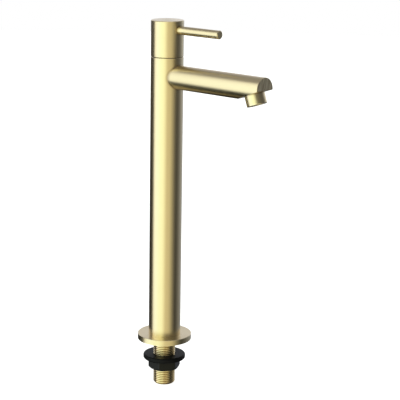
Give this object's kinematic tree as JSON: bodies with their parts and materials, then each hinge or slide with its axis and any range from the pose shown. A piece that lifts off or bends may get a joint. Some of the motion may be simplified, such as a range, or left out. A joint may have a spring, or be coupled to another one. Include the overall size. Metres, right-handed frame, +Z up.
{
  "type": "basin tap",
  "caption": "Tall single basin tap with a round column, level spout with a slanted nose and aerator, quarter-turn rod lever, disc flange, threaded tail, rubber washer and backnut.",
  "frame": {"origin": "centre of the flange's underside, on the column's axis, where the tap sits on the basin", "axes": "+Z up along the column; the spout and, with the water off, the lever point along -Y"},
  "size_m": [0.0516, 0.1425, 0.3515],
  "materials": {
    "brushed_gold": "brushed satin, pale gold",
    "tail_brass": "turned brass, bright",
    "inner_brass": "turned brass, bare",
    "copper": "drawn copper tube",
    "black_rubber": "matt, moulded",
    "black_nylon": "moulded, slightly glossy",
    "white_plastic": "moulded, matt",
    "ceramic": "lapped ceramic",
    "stainless": "fine brushed"
  },
  "bodies": {
    "tap_body": {"column_tube": "brushed_gold", "base_flange": "brushed_gold", "base_seal": "black_rubber", "threaded_tail": "tail_brass", "feed_tube": "copper", "feed_tube_o_rings": "black_rubber", "spout": "brushed_gold", "outlet_sleeve": "brushed_gold", "aerator_washer": "black_rubber", "aerator_strainer": "white_plastic", "aerator_cartridge": "white_plastic", "aerator_gauze": "stainless", "valve_body": "inner_brass", "headwork_shell": "inner_brass", "headwork_o_ring": "black_rubber", "seat_seal": "black_rubber", "fixed_disc": "ceramic", "thrust_washer": "white_plastic", "head_glide_ring": "black_nylon"},
    "handle": {"head_cap": "brushed_gold", "lever_rod": "brushed_gold", "grub_screw": "stainless", "spindle": "inner_brass", "spindle_o_rings": "black_rubber", "spindle_clip": "stainless", "moving_disc": "ceramic"},
    "washer": {"clamp_washer": "black_rubber"},
    "nut": {"backnut": "black_nylon"}
  },
  "joints": [
    {"name": "handle_turn", "type": "hinge", "parent": "tap_body", "child": "handle", "pos_m": [0, 0, 0.29], "axis": [0, 0, 1], "range_deg": [0, 90]},
    {"name": "washer_slide", "type": "slide", "parent": "tap_body", "child": "washer", "axis": [0, 0, 1], "range_m": [-0.01455, 0.01455]},
    {"name": "nut_turn", "type": "hinge", "parent": "washer", "child": "nut", "pos_m": [0, 0, -0.0247], "axis": [0, 0, 1], "range_deg": [-2880, 2880]}
  ],
  "couplings": [
    {"joint": "washer_slide", "follows": "nut_turn", "m_per_rad": 0.00028871}
  ]
}
